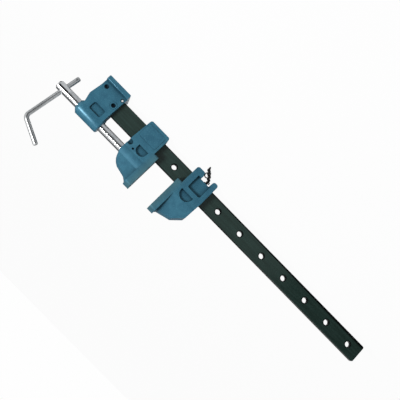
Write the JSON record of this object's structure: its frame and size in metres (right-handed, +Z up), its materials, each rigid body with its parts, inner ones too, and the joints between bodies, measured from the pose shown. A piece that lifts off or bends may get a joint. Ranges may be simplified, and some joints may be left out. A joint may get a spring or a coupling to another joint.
{
  "type": "bar clamp",
  "caption": "Flat-bar clamp on cast feet with a screw-driven moving jaw, a cranked tommy bar, and a tail slide set by a chained peg.",
  "frame": {"origin": "middle of the head casting's foot, on the bench", "axes": "+X along the bar from the head to the tail, +Z up through the jaws, and +Y towards the side that the picture shows"},
  "size_m": [0.6565, 0.1048, 0.166],
  "materials": {
    "cast_enamel": "blue enamel over cast iron",
    "bar_steel": "dark lacquered flat steel",
    "bright_steel": "bright turned steel",
    "pin_steel": "plain drawn steel",
    "sunk_pin": "pin ends painted over deep in their recesses",
    "peg_steel": "dull turned steel",
    "chain_steel": "blackened welded wire"
  },
  "bodies": {
    "frame": {"bar": "bar_steel", "head_casting": "cast_enamel", "head_rivets": "sunk_pin", "head_lock_pin": "bright_steel"},
    "jaw": {"moving_jaw": "cast_enamel", "screw_retaining_pin": "sunk_pin"},
    "spindle": {"screw": "bright_steel"},
    "handle": {"tommy_bar": "bright_steel", "tommy_stop_pin": "pin_steel"},
    "tail": {"tail_slide": "cast_enamel"},
    "peg": {"peg": "peg_steel", "chain_link_01": "chain_steel", "chain_link_02": "chain_steel", "chain_link_03": "chain_steel", "chain_link_04": "chain_steel", "chain_link_05": "chain_steel", "chain_link_06": "chain_steel", "chain_link_07": "chain_steel", "chain_link_08": "chain_steel", "chain_link_09": "chain_steel", "chain_link_10": "chain_steel", "chain_link_11": "chain_steel", "chain_link_12": "chain_steel", "chain_link_13": "chain_steel", "chain_link_14": "chain_steel", "chain_link_15": "chain_steel", "chain_ring": "chain_steel"}
  },
  "joints": [
    {"name": "jaw_slide", "type": "slide", "parent": "frame", "child": "jaw", "axis": [1, 0, 0], "range_m": [-0.044, 0.02]},
    {"name": "screw_turn", "type": "hinge", "parent": "jaw", "child": "spindle", "pos_m": [0, 0, 0.0666], "axis": [1, 0, 0], "range_deg": [-7920, 3600]},
    {"name": "handle_slide", "type": "slide", "parent": "spindle", "child": "handle", "axis": [-0.1219, 0, 0.9925], "range_m": [-0.05, 0.015]},
    {"name": "tail_slide", "type": "slide", "parent": "frame", "child": "tail", "axis": [1, 0, 0], "range_m": [0, 0.3556]},
    {"name": "peg_push", "type": "slide", "parent": "tail", "child": "peg", "axis": [0, 1, 0], "range_m": [0, 0.014]}
  ],
  "couplings": [
    {"joint": "jaw_slide", "follows": "screw_turn", "m_per_rad": 0.00031831}
  ]
}
